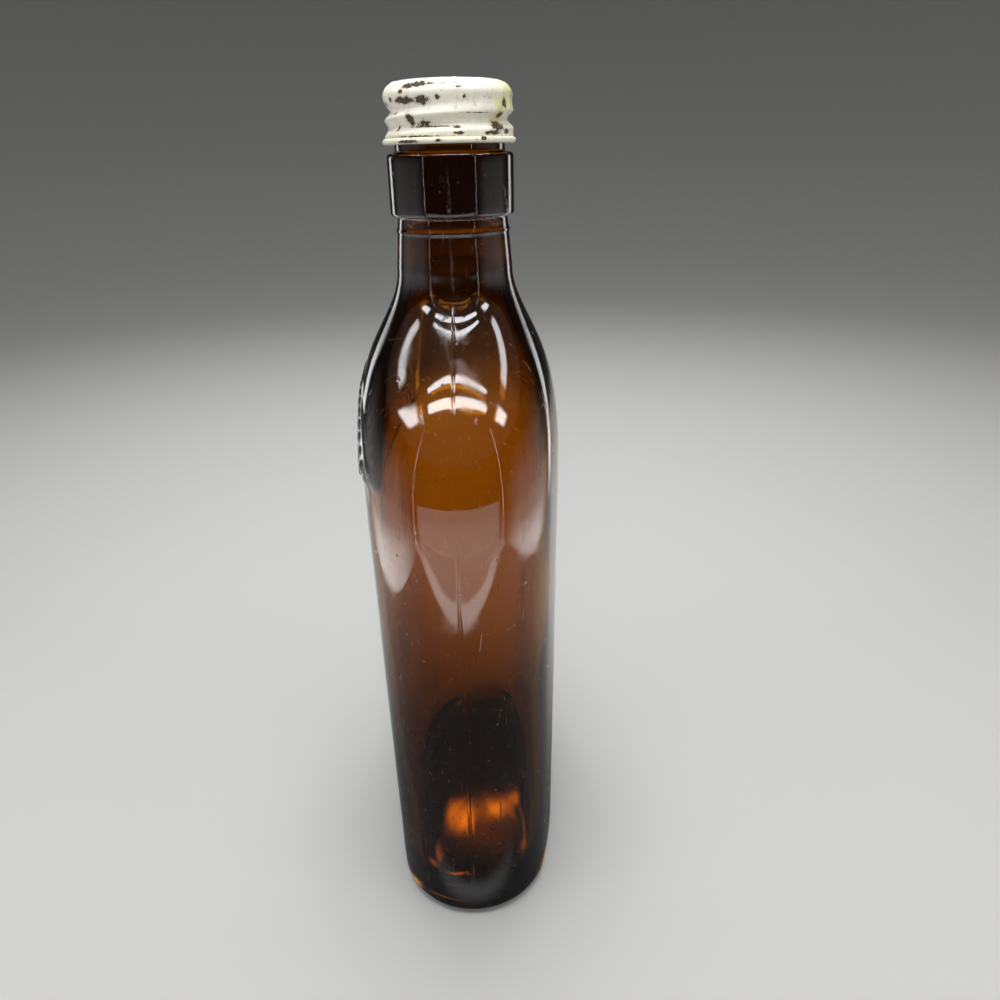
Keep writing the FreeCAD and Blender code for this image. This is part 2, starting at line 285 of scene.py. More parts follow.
SIDE_ARC = math.radians(76)  # each end arc of the body's oval reaches this far from the width axis
SIDE_BEND, SIDE_EASE, SIDE_REACH = 2.6, 1.9, 0.954  # the narrow sides' curve up the shoulders
FACE_BEND, FACE_EASE = 4.0, 2.3  # the wide faces' curve up the shoulders
GLASS_STEPS = 288
SEAM_CROWDING = 0.75  # how much closer the vertices stand near the seams
RING_SPREAD = 0.45 * MM
NECK_FILLET = 0.35 * MM
GLASS_SEAM = 0.26 * MM


def arc(low, high, steps):
    """Angles from low to high degrees, both ends included, in radians."""
    return [math.radians(low + (high - low) * step / steps) for step in range(steps + 1)]


def spread(low, high, steps):
    """Values from low to high with the first left out."""
    return [low + (high - low) * step / steps for step in range(1, steps + 1)]


def body_halves(sizes, height, wall):
    """Half width and half thickness of the body at a height, a wall's thickness inside the outside."""
    width = glass_high.x - wall
    thickness = glass_high.y - wall
    neck = (sizes.neck_foot if wall == 0 else sizes.bore_radius)
    if height <= sizes.straight_height:
        inset = sizes.base_narrowing * (1 - height / sizes.straight_height)
        return width - inset, thickness - inset
    part = min((height - sizes.straight_height) / sizes.shoulder_rise, 1.0)
    side = (1 - min(part / SIDE_REACH, 1.0) ** SIDE_BEND) ** SIDE_EASE
    face = (1 - part**FACE_BEND) ** FACE_EASE
    return neck + (width - neck) * side, neck + (thickness - neck) * face


def wall_at(sizes, height):
    """Thickness of the body's glass: thin at the foot of the shoulders, thick above and below."""
    low = smooth_step(height, sizes.straight_height, 0.25 * sizes.straight_height)
    high = smooth_step(height, sizes.straight_height, sizes.straight_height + sizes.shoulder_rise)
    return sizes.thin_wall + (sizes.thick_wall - sizes.thin_wall) * float(max(low, high))


def glass_profile(sizes):
    """Half width, half thickness and height of each ring, from under the base to the inner floor."""
    heel, collar_round = sizes.heel_round, sizes.collar_round
    neck_base = sizes.straight_height + sizes.shoulder_rise
    collar_base = neck_base + sizes.neck_length
    collar_top = collar_base + sizes.collar_height
    lip = glass_high.z
    rings = []

    def oval_ring(inset, height):
        rings.append((glass_high.x - inset, glass_high.y - inset, height))

    def round_ring(radius, height):
        rings.append((radius, radius, height))

    rim = sizes.base_narrowing + heel + sizes.foot_width
    for turn in arc(90, 0, 9):
        part = math.cos(turn)
        halves = ((glass_high.x - rim) * part, (glass_high.y - rim) * part)
        rings.append((*halves, sizes.push_up * math.sin(turn)))
    for inset in spread(rim, sizes.base_narrowing + heel, 4)[:-1]:
        oval_ring(inset, 0.0)
    for turn in arc(0, 90, 9):
        narrow = sizes.base_narrowing * (1 - heel / sizes.straight_height)
        oval_ring(narrow + heel * (1 - math.sin(turn)), heel * (1 - math.cos(turn)))
    for height in spread(heel, sizes.straight_height, 32) + spread(sizes.straight_height, neck_base, 54):
        rings.append((*body_halves(sizes, height, 0), height))
    ring_height = collar_base - sizes.ring_drop
    for height in spread(neck_base, collar_base - 0.1 * MM, 30):
        part = (height - neck_base) / sizes.neck_length
        ridge = sizes.ring_relief * math.exp(-(((height - ring_height) / RING_SPREAD) ** 2))
        round_ring(sizes.neck_foot + (sizes.neck_top - sizes.neck_foot) * part + ridge, height)
    round_ring(sizes.neck_top + NECK_FILLET, collar_base)
    for turn in arc(0, 90, 5):
        radius = sizes.collar_radius - collar_round * (1 - math.sin(turn))
        round_ring(radius, collar_base + collar_round * (1 - math.cos(turn)))
    for height in spread(collar_base + collar_round, collar_top - collar_round, 8)[:-1]:
        round_ring(sizes.collar_radius, height)
    for turn in arc(0, 90, 5):
        radius = sizes.collar_radius - collar_round * (1 - math.cos(turn))
        round_ring(radius, collar_top - collar_round * (1 - math.sin(turn)))
    round_ring(sizes.mouth_radius + NECK_FILLET, collar_top)
    for height in spread(collar_top, lip - sizes.lip_round, 34)[:-1]:
        round_ring(sizes.mouth_radius, height)
    for turn in arc(0, 90, 6):
        radius = sizes.mouth_radius - sizes.lip_round * (1 - math.cos(turn))
        round_ring(radius, lip - sizes.lip_round * (1 - math.sin(turn)))
    for turn in arc(90, 0, 4):
        radius = sizes.bore_radius + sizes.bore_round * (1 - math.cos(turn))
        round_ring(radius, lip - sizes.bore_round * (1 - math.sin(turn)))
    inside = len(rings)
    for height in spread(lip - sizes.bore_round, neck_base, 12):
        round_ring(sizes.bore_radius, height)
    cavity_top = sizes.floor_height + sizes.cavity_round
    for height in spread(neck_base, sizes.straight_height, 28):
        rings.append((*body_halves(sizes, height, wall_at(sizes, height)), height))
    for height in spread(sizes.straight_height, cavity_top, 22):
        rings.append((*body_halves(sizes, height, wall_at(sizes, height)), height))
    width, thickness, _ = rings[-1]
    for turn in arc(90, 0, 9)[1:]:
        inset = sizes.cavity_round * (1 - math.sin(turn))
        height = sizes.floor_height + sizes.cavity_round * (1 - math.cos(turn))
        rings.append((width - inset, thickness - inset, height))
    width, thickness, _ = rings[-1]
    for part in spread(1.0, 0.0, 9):
        rings.append((width * part, thickness * part, sizes.floor_height))
    return np.array(rings), inside


def oval(half_width, half_thickness, turn):
    """Places and outward directions on four-arc ovals, for a turn round the axis from the near seam."""
    quarter = np.abs(np.mod(turn / (0.5 * math.pi) + 1, 2) - 1)
    part = quarter * (1 - SEAM_CROWDING) + SEAM_CROWDING * quarter**2
    slope = math.cos(SIDE_ARC) / (1 - math.sin(SIDE_ARC))
    end_radius = (half_thickness * slope - half_width) / (slope - 1)
    end_centre = half_width - end_radius
    face_centre = end_centre * math.tan(SIDE_ARC)
    face_radius = half_thickness + face_centre
    end_length = end_radius * SIDE_ARC
    face_length = face_radius * (0.5 * math.pi - SIDE_ARC)
    along = part * (end_length + face_length)
    on_end = along < end_length
    radius = np.where(on_end, end_radius, face_radius)
    beyond = along - np.where(on_end, 0, end_length)
    lean = np.where(on_end, 0, SIDE_ARC) + beyond / np.maximum(radius, 1e-9)
    x = np.where(on_end, end_centre, 0) + radius * np.cos(lean)
    y = np.where(on_end, 0, -face_centre) + radius * np.sin(lean)
    ahead, left = np.sign(np.cos(turn)), np.sign(np.sin(turn))
    return ahead * x, left * y, ahead * np.cos(lean), left * np.sin(lean)


def shoulder_panel(sizes, x, z):
    """Share of the raised shoulder on the ornate face, with a short step at its foot."""
    foot = smooth_step(z, sizes.straight_height + 10.8 * MM, sizes.straight_height + 12.6 * MM)
    top = smooth_step(z, sizes.straight_height + 50 * MM, sizes.straight_height + 34 * MM)
    sides = smooth_step(np.abs(x), 38 * MM, 28 * MM)
    return foot * top * sides


def ornament(sizes, x, z):
    """Relief of an arched row of beads between two plain ridges."""
    rise = z - (sizes.straight_height - 5 * MM)
    reach = np.hypot(x, rise)
    turn = np.degrees(np.arctan2(x, rise))
    middle, spacing, bead = 34 * MM, 6.0, 1.45 * MM
    nearest = np.round(turn / spacing) * spacing
    off = np.radians(turn - nearest) * reach
    distance = np.hypot(off, reach - middle)
    beads = np.sqrt(np.clip(1 - (distance / bead) ** 2, 0, 1)) * (np.abs(nearest) < 58)
    lines = sum(np.exp(-(((reach - middle - side * 3.3 * MM) / (0.42 * MM)) ** 2)) for side in (-1, 1))
    return beads + 0.55 * lines * smooth_step(np.abs(turn), 62, 57)


def glass_relief(sizes, spots, out_y, outside, inside):
    """How far each place of the glass stands out of its plain oval."""
    x, y, z = spots.T
    ornate = outside * smooth_step(-out_y, 0.4, 0.8)
    neck_base = sizes.straight_height + sizes.shoulder_rise
    collar_top = neck_base + sizes.neck_length + sizes.collar_height
    standing = smooth_step(z, 2 * MM, 8 * MM)
    relief = np.zeros(len(spots))
    body = outside * standing * smooth_step(z, neck_base + 4 * MM, neck_base - 12 * MM)
    relief += sizes.outer_waves * body * waves(spots, 19 * MM, seed=3.1)
    relief += sizes.outer_waves * 0.5 * body * waves(spots, 8 * MM, seed=7.7)
    seam = np.exp(-((y / GLASS_SEAM) ** 2)) * outside * standing
    relief += seam * sizes.seam_relief * smooth_step(z, collar_top, collar_top - 1.5 * MM)
    relief += ornate * sizes.panel_relief * shoulder_panel(sizes, x, z)
    off_edge = smooth_step(np.abs(x), 36 * MM, 32 * MM)
    relief += ornate * sizes.bead_relief * ornament(sizes, x, z) * off_edge
    off_floor = smooth_step(z, sizes.floor_height, sizes.floor_height + 6 * MM)
    deep = inside * off_floor * smooth_step(z, neck_base + 10 * MM, neck_base - 10 * MM)
    relief -= sizes.inner_waves * deep * waves(spots, 24 * MM, (1, 1, 1.8), 11.3)
    relief -= 0.35 * sizes.inner_waves * deep * waves(spots, 9 * MM, (1, 1, 2.5), 5.9)
    throat = inside * smooth_step(z, neck_base - 20 * MM, neck_base)
    throat = throat * smooth_step(z, glass_high.z, collar_top)
    relief -= sizes.throat_waves * throat * waves(spots, 5 * MM, (1, 1, 9), 2.3)
    return relief


def thread_relief(sizes, turn, z):
    """The glass thread: one low ridge that winds up the mouth."""
    neck_base = sizes.straight_height + sizes.shoulder_rise
    collar_top = neck_base + sizes.neck_length + sizes.collar_height
    start = collar_top + 6.1 * MM
    relief = np.zeros(len(z))
    wound = np.mod(turn - ORNATE_FACE, FULL_TURN) / FULL_TURN
    for lap in (0, 1):
        middle = start + (wound + lap) * sizes.thread_pitch
        ends = smooth_step(wound + lap, 0.0, 0.06) * smooth_step(wound + lap, 1.25, 1.18)
        relief += ends * np.clip(1 - (np.abs(z - middle) / (0.85 * MM)) ** 2, 0, 1)
    return sizes.thread_relief * relief * (z > collar_top + MM)


def ornate_faces(piece, sizes, rings, inside_from):
    """True for each outer face of the shoulder that carries the ornament."""
    centres = np.zeros(len(piece.data.polygons) * 3)
    piece.data.polygons.foreach_get("center", centres)
    x, y, z = centres.reshape(-1, 3).T
    facing = np.abs(np.arctan2(y, x) - ORNATE_FACE) < math.radians(36)
    rise = z - sizes.straight_height
    outer_radius = np.interp(z, rings[:inside_from, 2], rings[:inside_from, 0])
    outer = np.hypot(x, y) > outer_radius - 1.2 * MM
    return facing & outer & (rise > 7 * MM) & (rise < 38 * MM)


def make_glass():
    """The flask's glass, one closed shell with its inside."""
    sizes = bpy.context.scene.flask_glass
    rings, inside_from = glass_profile(sizes)
    piece = draw_profile("amber_glass_flask", [(ring[0], ring[2]) for ring in rings])
    spin_profile(piece, GLASS_STEPS)
    subdivide_faces(piece, ornate_faces(piece, sizes, rings, inside_from), 2)
    station = stations_of(piece)
    spots = places(piece)
    turn = np.arctan2(spots[:, 1], spots[:, 0])
    count = np.arange(len(rings))
    half_width = np.interp(station, count, rings[:, 0])
    half_thickness = np.interp(station, count, rings[:, 1])
    x, y, out_x, out_y = oval(half_width, half_thickness, turn)
    z = np.interp(station, count, rings[:, 2])
    pressed = np.column_stack((x, y, z))
    pressed[half_width < 1e-7, :2] = 0
    outside = (station < inside_from).astype(float)
    relief = glass_relief(sizes, pressed, out_y, outside, 1 - outside)
    relief += outside * thread_relief(sizes, turn, z)
    pressed[:, 0] += out_x * relief
    pressed[:, 1] += out_y * relief
    flat_inside = (1 - outside) * smooth_step(z, sizes.floor_height + 4 * MM, sizes.floor_height)
    pressed[:, 2] += sizes.floor_waves * flat_inside * waves(spots, 8 * MM, seed=9.4)
    pressed[:, 2] += sizes.floor_grain * flat_inside * waves(spots, 2.4 * MM, seed=4.8)
    put(piece, pressed)
    piece.data.attributes.remove(piece.data.attributes["station"])
    finish_piece(piece, "flask_glass", amber_glass())


# The cap

CAP_STEPS = 360
BARE_INSIDE = 2.5  # over 1, so that the sheet has no paint there

# Chips in the enamel: degrees from the near seam, height over the cap's foot, half width, half height
CHIPS = (
    (-57, 8.5, 0.6, 0.4), (-39, 8.2, 2.6, 0.6), (-20, 8.1, 1.5, 0.8), (-6, 8.5, 0.5, 0.4),
    (17, 8.6, 0.35, 0.35), (-23, 11.0, 2.0, 0.5), (-41, 9.8, 0.6, 0.4), (-33, 4.7, 0.9, 1.1),
    (-20, 3.8, 1.5, 0.5), (-49, 3.0, 0.4, 0.6), (10, 3.0, 0.8, 0.25), (11, 1.9, 1.0, 0.3),
    (37, 1.8, 0.8, 0.3), (32, 0.8, 0.6, 0.4), (-6, 0.6, 0.7, 0.25), (-34, 0.5, 2.2, 0.3),
    (50, 3.2, 1.8, 0.9), (45, 1.9, 1.6, 0.4), (62, 2.2, 0.9, 0.5), (-14, 3.2, 6.0, 0.12),
    (-26, 1.45, 7.0, 0.12), (-34, 10.7, 1.4, 0.5), (-8, 10.9, 2.6, 0.08), (12, 10.4, 0.7, 0.12),
    (28, 5.6, 3.0, 0.07), (60, 7.5, 0.8, 0.9), (56, 5.3, 1.0, 0.5), (-52, 5.9, 0.5, 0.2),
)


def cap_profile(sizes):
    """Radius and height of each ring: over the top, down the skirt, round the bead and back inside."""
    top, foot = cap_high.z, cap_low.z
    bend, metal = sizes.top_bend, sizes.metal
    flat = sizes.skirt_radius - bend
    points = [(radius, top) for radius in spread(0, flat, 14)[:-1]]
    points.insert(0, (0.0, top))
    for turn in arc(90, 0, 14):
        points.append((flat + bend * math.cos(turn), top - bend * (1 - math.sin(turn))))
    bead_height = foot + sizes.bead_round
    bead_centre = cap_high.y - sizes.bead_round
    start = bead_height + sizes.bead_round * 0.9
    for height in spread(top - bend, start, 40):
        points.append((sizes.skirt_radius, height))
    for turn in arc(105, -150, 16):
        radius = bead_centre + sizes.bead_round * math.cos(turn)
        points.append((radius, bead_height + sizes.bead_round * math.sin(turn)))
    inside = len(points)
    for height in spread(foot + metal, top - bend, 26):
        points.append((sizes.skirt_radius - metal, height))
    for turn in arc(0, 90, 8)[1:]:
        inner = bend - metal
        points.append((flat + inner * math.cos(turn), top - bend + inner * math.sin(turn)))
    for radius in spread(flat, 0, 5):
        points.append((radius, top - metal))
    return points, inside


def groove(sizes, turn, z):
    """Depth of the rolled groove that winds up the skirt and fades out."""
    wound = np.mod(turn - ORNATE_FACE + 0.6, FULL_TURN) / FULL_TURN
    depth = np.zeros(len(z))
    for lap in (0, 1):
        along = wound + lap - 0.6 / FULL_TURN
        middle = cap_low.z + sizes.groove_lift + along * sizes.groove_pitch
        off = np.clip(np.abs(z - middle) / sizes.groove_half_width, 0, 1)
        fade = (0.62 * smooth_step(along, -0.095, 0.02) + 0.38 * smooth_step(along, 0.0, 0.2))
        fade = fade * smooth_step(along, 1.42, 1.02)
        depth = np.maximum(depth, 0) + fade * (0.5 + 0.5 * np.cos(math.pi * off))
    return np.clip(depth, 0, 1.0) * sizes.groove_depth


def chip_field(chips, around, height, radius):
    """1 in the middle of each chip, 0 at its rim and down to -2 away from it."""
    field = np.full(len(height), -2.0)
    for degrees, lift, half_width, half_height in chips:
        off = np.mod(around - math.radians(degrees) + math.pi, FULL_TURN) - math.pi
        across = off * radius / (half_width * MM)
        up = (height - lift * MM) / (half_height * MM)
        field = np.maximum(field, 1 - across**2 - up**2)
    return field


def far_chips():
    """Chips and worn lines on the side away from the near seam, drawn by lot."""
    lot = random.Random(28)
    chips = []
    for _ in range(8):
        degrees, lift = lot.uniform(80, 285), lot.choice((0.7, 3.4, 7.9, 8.4)) + lot.uniform(-0.3, 0.3)
        for _ in range(lot.randint(1, 4)):
            wide, tall = lot.uniform(0.2, 1.5), lot.uniform(0.15, 0.55)
            chips.append((degrees + lot.uniform(-9, 9), lift + lot.uniform(-0.6, 0.6), wide, tall))
    for _ in range(7):
        chips.append((lot.uniform(80, 285), lot.choice((1.5, 3.3, 10.5)), lot.uniform(2.5, 6.0), 0.11))
    return chips


def add_field(piece, name, values):
    """Stores a number for each vertex of a piece."""
    field = piece.data.attributes.new(name, "FLOAT", "POINT")
    field.data.foreach_set("value", values.astype(np.float32))


def make_cap():
    """The cap's rolled sheet, with its groove, curled edge and blisters."""
    sizes = bpy.context.scene.flask_cap
    points, inside_from = cap_profile(sizes)
    piece = draw_profile("enamelled_screw_cap", points)
    spin_profile(piece, CAP_STEPS)
    station = stations_of(piece)
    spots = places(piece)
    turn = np.arctan2(spots[:, 1], spots[:, 0])
    radius = np.hypot(spots[:, 0], spots[:, 1])
    x, y, z = spots.T
    skirt = smooth_step(radius, 11.5 * MM, 13.5 * MM)
    skirt = skirt * smooth_step(z, cap_low.z + 1.2 * MM, cap_low.z + 1.9 * MM)
    shrink = groove(sizes, turn, z) * skirt
    hollow_band = np.clip(1 - ((z - cap_low.z - sizes.band_lift) / (1.7 * MM)) ** 2, 0, 1)
    shrink += sizes.band_depth * hollow_band**2 * skirt
    outside = (station < inside_from - 4).astype(float)
    shrink -= sizes.dents * skirt * waves(spots, 7 * MM, seed=1.9)
    shrink -= 0.35 * sizes.dents * outside * waves(spots, 2.2 * MM, seed=4.4) * (radius > 12 * MM)
    scale = np.where(radius > MM, (radius - shrink) / np.maximum(radius, MM), 1)
    spots[:, 0] *= scale
    spots[:, 1] *= scale
    near_top = outside * smooth_step(z, cap_high.z - 2.6 * MM, cap_high.z - 0.5 * MM)
    blisters = np.clip(waves(spots, 1.5 * MM, seed=8.2) - 0.25, 0, 1)
    spots[:, 2] += sizes.crust * near_top * blisters * smooth_step(radius, 5 * MM, 11 * MM)
    spots[:, 2] -= sizes.top_sink * near_top * (1 - smooth_step(radius, 0, 11 * MM))
    lift = spots[:, 2] - cap_low.z
    field = chip_field(CHIPS + tuple(far_chips()), turn, lift, radius)
    field = np.where(station < inside_from, field, BARE_INSIDE)
    yellow = smooth_step(turn, 0.5, 1.1) * smooth_step(turn, 2.2, 1.6)  # one side of the skirt
    yellow = yellow * smooth_step(lift, 2 * MM, 5 * MM) * (0.75 + 0.6 * waves(spots, 3 * MM, seed=6.6))
    yellow = np.maximum(yellow, 0.32 * smooth_step(lift, 4 * MM, 0.8 * MM))  # and all round the foot
    put(piece, spots)
    piece.data.attributes.remove(piece.data.attributes["station"])
    add_field(piece, "chips", field)
    add_field(piece, "stains", yellow)
    finish_piece(piece, "screw_cap", cap_enamel())


# Materials


class Nodes:
    """Adds nodes to a node tree and joins them."""

    def __init__(self, tree):
        self.tree = tree

    def feed(self, socket, value):
        """Joins another node's output to a socket, or sets the socket to a plain value."""
        if isinstance(value, bpy.types.NodeSocket):
            self.tree.links.new(value, socket)
        else:
            socket.default_value = value

    def add(self, kind, feeds=None, **settings):
        """A node of a kind, with its settings and what feeds its sockets."""
        node = self.tree.nodes.new(f"ShaderNode{kind}")
        for name, value in settings.items():
            setattr(node, name, value)
        for name, value in (feeds or {}).items():
            self.feed(node.inputs[name], value)
        return node

    def sum(self, operation, first, second=0.0, clamp=False):
        """One sum on one or two numbers."""
        feeds = {0: first} if operation == "ABSOLUTE" else {0: first, 1: second}
        return self.add("Math", feeds, operation=operation, use_clamp=clamp).outputs[0]

    def fade(self, value, low, high, bottom=0.0, top=1.0):
        """A smooth rise from bottom to top as a value goes from low to high."""
        feeds = {"Value": value, "From Min": low, "From Max": high, "To Min": bottom, "To Max": top}
        return self.add("MapRange", feeds, interpolation_type="SMOOTHSTEP").outputs["Result"]

    def stretch(self, vector, scale, turn=(0.0, 0.0, 0.0)):
        """Coordinates turned and scaled."""
        return self.add("Mapping", {"Vector": vector, "Scale": scale, "Rotation": turn}).outputs[0]

    def grain(self, vector, scale, detail=2.0, roughness=0.5, distortion=0.0):
        """Smooth noise from 0 to 1, with this many waves to the metre."""
        feeds = {
            "Vector": vector,
            "Scale": scale,
            "Detail": detail,
            "Roughness": roughness,
            "Distortion": distortion,
        }
        return self.add("TexNoise", feeds).outputs["Fac"]

    def blend(self, share, first, second, kind="MIX"):
        """Two colours mixed by a share."""
        node = self.add("Mix", data_type="RGBA", blend_type=kind)
        self.feed(node.inputs[0], share)
        self.feed(node.inputs[6], first)
        self.feed(node.inputs[7], second)
        return node.outputs[2]

    def raise_by(self, height, depth, below=None, strength=1.0):
        """A bumped normal, from a height from 0 to 1 and how deep that is in metres."""
        feeds = {"Height": height, "Distance": depth, "Strength": strength}
        if below is not None:
            feeds["Normal"] = below
        return self.add("Bump", feeds).outputs["Normal"]


def new_group(name, inputs):
    """An empty node group with a Vector, the named numbers and one Mask out."""
    group = bpy.data.node_groups.new(name, "ShaderNodeTree")
    group.interface.new_socket("Vector", in_out="INPUT", socket_type="NodeSocketVector")
    for label, value in inputs.items():
        socket = group.interface.new_socket(label, in_out="INPUT", socket_type="NodeSocketFloat")
        socket.default_value = value
    group.interface.new_socket("Mask", in_out="OUTPUT", socket_type="NodeSocketFloat")
    nodes = Nodes(group)
    entry = group.nodes.new("NodeGroupInput")
    way_out = group.nodes.new("NodeGroupOutput")
    return nodes, entry.outputs, way_out.inputs["Mask"]


def scratches_group():
    """Fine scratches that run every way and come and go."""
    nodes, given, mask = new_group("scratches", {"Scale": 60.0, "Width": 0.012, "Cover": 0.5})
    lines = []
    for tilt, along in ((0.5, 0.12), (-1.1, 0.1), (1.45, 0.14)):
        turned = nodes.stretch(given["Vector"], (1.0, 1.0, along), (tilt, tilt * 0.7, tilt * 0.4))
        off = nodes.sum("SUBTRACT", nodes.grain(turned, given["Scale"], 1.0), 0.5)
        off = nodes.sum("ABSOLUTE", off)
        lines.append(nodes.sum("SUBTRACT", 1.0, nodes.sum("DIVIDE", off, given["Width"]), clamp=True))
    worst = nodes.sum("MAXIMUM", nodes.sum("MAXIMUM", lines[0], lines[1]), lines[2])
    where = nodes.grain(given["Vector"], 190.0, 2.0, 0.6)
    low = nodes.sum("SUBTRACT", 1.0, given["Cover"])
    seen = nodes.fade(where, low, nodes.sum("ADD", low, 0.08))
    nodes.feed(mask, nodes.sum("MULTIPLY", worst, seen))


def specks_group():
    """Scattered specks of dust and small knocks."""
    nodes, given, mask = new_group("specks", {"Scale": 400.0, "Radius": 0.12, "Share": 0.1})
    cells = nodes.add("TexVoronoi", {"Vector": given["Vector"], "Scale": given["Scale"]})
    near = nodes.sum("LESS_THAN", cells.outputs["Distance"], given["Radius"])
    draw = nodes.add("SeparateColor", {"Color": cells.outputs["Color"]}).outputs["Red"]
    picked = nodes.sum("LESS_THAN", draw, given["Share"])
    nodes.feed(mask, nodes.sum("MULTIPLY", near, picked))


def place_group(nodes, name, vector, **values):
    """A shared effect placed in a material with its own values."""
    node = nodes.tree.nodes.new("ShaderNodeGroup")
    node.node_tree = bpy.data.node_groups[name]
    nodes.feed(node.inputs["Vector"], vector)
    for label, value in values.items():
        nodes.feed(node.inputs[label.capitalize()], value)
    return node.outputs["Mask"]


def new_material(name):
    """A material with its Principled shader, and the tools to add nodes to it."""
    material = bpy.data.materials.new(name)
    material.use_nodes = True
    nodes = Nodes(material.node_tree)
    spot = nodes.add("TexCoord").outputs["Object"]
    return material, nodes, material.node_tree.nodes["Principled BSDF"], spot


GLASS_IOR = 1.52
GLASS_SHINE = 0.025  # roughness of clean glass
PIT_DEPTH, RIPPLE_DEPTH = 0.03 * MM, 0.05 * MM


def amber_glass():
    """Old amber glass: coloured by its depth, finely scratched, pitted, dusty and a little greasy."""
    colours = bpy.context.scene.flask_colours
    material, nodes, shader, spot = new_material("amber glass")
    scratched = place_group(nodes, "scratches", spot, scale=70.0, width=0.008, cover=0.42)
    dusty = place_group(nodes, "specks", spot, scale=420.0, radius=0.16, share=0.06)
    pitted = place_group(nodes, "specks", spot, scale=190.0, radius=0.11, share=0.05)
    greasy = nodes.fade(nodes.grain(spot, 75.0, 4.0, 0.65), 0.45, 0.75)
    dull = nodes.sum("ADD", nodes.sum("MULTIPLY", scratched, 0.3), nodes.sum("MULTIPLY", dusty, 0.45))
    dull = nodes.sum("ADD", dull, nodes.sum("MULTIPLY", greasy, 0.13))
    hollow = nodes.raise_by(nodes.sum("ADD", scratched, pitted), -PIT_DEPTH)
    ripple = nodes.grain(spot, 240.0, 1.0)
    normal = nodes.raise_by(ripple, RIPPLE_DEPTH, hollow, 0.12)
    nodes.feed(shader.inputs["Roughness"], nodes.sum("ADD", dull, GLASS_SHINE, clamp=True))
    nodes.feed(shader.inputs["Normal"], normal)
    shader.inputs["Base Color"].default_value = (*colours.amber_tint, 1)
    shader.inputs["IOR"].default_value = GLASS_IOR
    shader.inputs["Transmission Weight"].default_value = 1
    feeds = {"Color": (*colours.amber, 1), "Density": colours.amber_density}
    depth = nodes.add("VolumeAbsorption", feeds)
    output = next(node for node in material.node_tree.nodes if node.type == "OUTPUT_MATERIAL")
    nodes.feed(output.inputs["Volume"], depth.outputs["Volume"])
    return material


PAINT_DEPTH, PIMPLE_DEPTH, TURNING_DEPTH = 0.07 * MM, 0.12 * MM, 0.03 * MM
PAINT_SHINE, BARE_SHINE = 0.38, 0.8  # roughness of the paint and of the rusted sheet


def cap_enamel():
    """Worn cream enamel: chipped to the rusty sheet, stained round the chips, yellowed on one side."""
    colours = bpy.context.scene.flask_colours
    material, nodes, shader, spot = new_material("cream enamel")
    chips = nodes.add("Attribute", attribute_name="chips").outputs["Fac"]
    stains = nodes.add("Attribute", attribute_name="stains").outputs["Fac"]
    ragged = nodes.grain(spot, 1500.0, 4.0, 0.65)
    torn = nodes.sum("ADD", chips, nodes.sum("MULTIPLY", nodes.sum("SUBTRACT", ragged, 0.5), 4.2))
    bare = nodes.fade(torn, -0.08, 0.08)
    halo = nodes.fade(torn, -1.5, 0.3, 0.0, 0.55)
    scratched = place_group(nodes, "scratches", spot, scale=260.0, width=0.02, cover=0.42)
    dusty = place_group(nodes, "specks", spot, scale=1500.0, radius=0.2, share=0.05)
    turned = nodes.grain(nodes.stretch(spot, (0.06, 0.06, 1.0)), 2200.0, 2.0)
    grime = nodes.fade(nodes.grain(spot, 420.0, 5.0, 0.7), 0.42, 0.8)
    dirt = nodes.sum("MULTIPLY", grime, 0.5)
    paint = nodes.blend(dirt, (*colours.enamel, 1), (*colours.enamel_shade, 1))
    rubbed = nodes.fade(turned, 0.56, 0.72, 0.0, 0.35)
    paint = nodes.blend(rubbed, paint, (*colours.enamel_shade, 1))
    patches = nodes.fade(nodes.grain(spot, 520.0, 4.0, 0.65), 0.25, 0.6, 0.45, 1.1)
    mottled = nodes.sum("MULTIPLY", stains, patches)
    paint = nodes.blend(nodes.fade(mottled, 0.0, 1.0, 0.0, 0.85), paint, (*colours.yellowing, 1))
    paint = nodes.blend(halo, paint, (*colours.rust, 1))
    marks = nodes.sum("MAXIMUM", nodes.sum("MULTIPLY", scratched, 0.5), dusty)
    paint = nodes.blend(marks, paint, (*colours.bare_metal, 1))
    rusty = nodes.fade(nodes.grain(spot, 2400.0, 3.0), 0.5, 0.75, 0.0, 0.5)
    metal = nodes.blend(rusty, (*colours.bare_metal, 1), (*colours.rust, 1))
    nodes.feed(shader.inputs["Base Color"], nodes.blend(bare, paint, metal))
    nodes.feed(shader.inputs["Roughness"], nodes.fade(bare, 0.0, 1.0, PAINT_SHINE, BARE_SHINE))
    layer = nodes.raise_by(nodes.sum("SUBTRACT", 1.0, bare), PAINT_DEPTH)
    pimpled = nodes.raise_by(nodes.grain(spot, 1100.0, 4.0, 0.6), PIMPLE_DEPTH, layer, 0.5)
    nodes.feed(shader.inputs["Normal"], nodes.raise_by(turned, TURNING_DEPTH, pimpled, 0.5))
    return material


# The stage


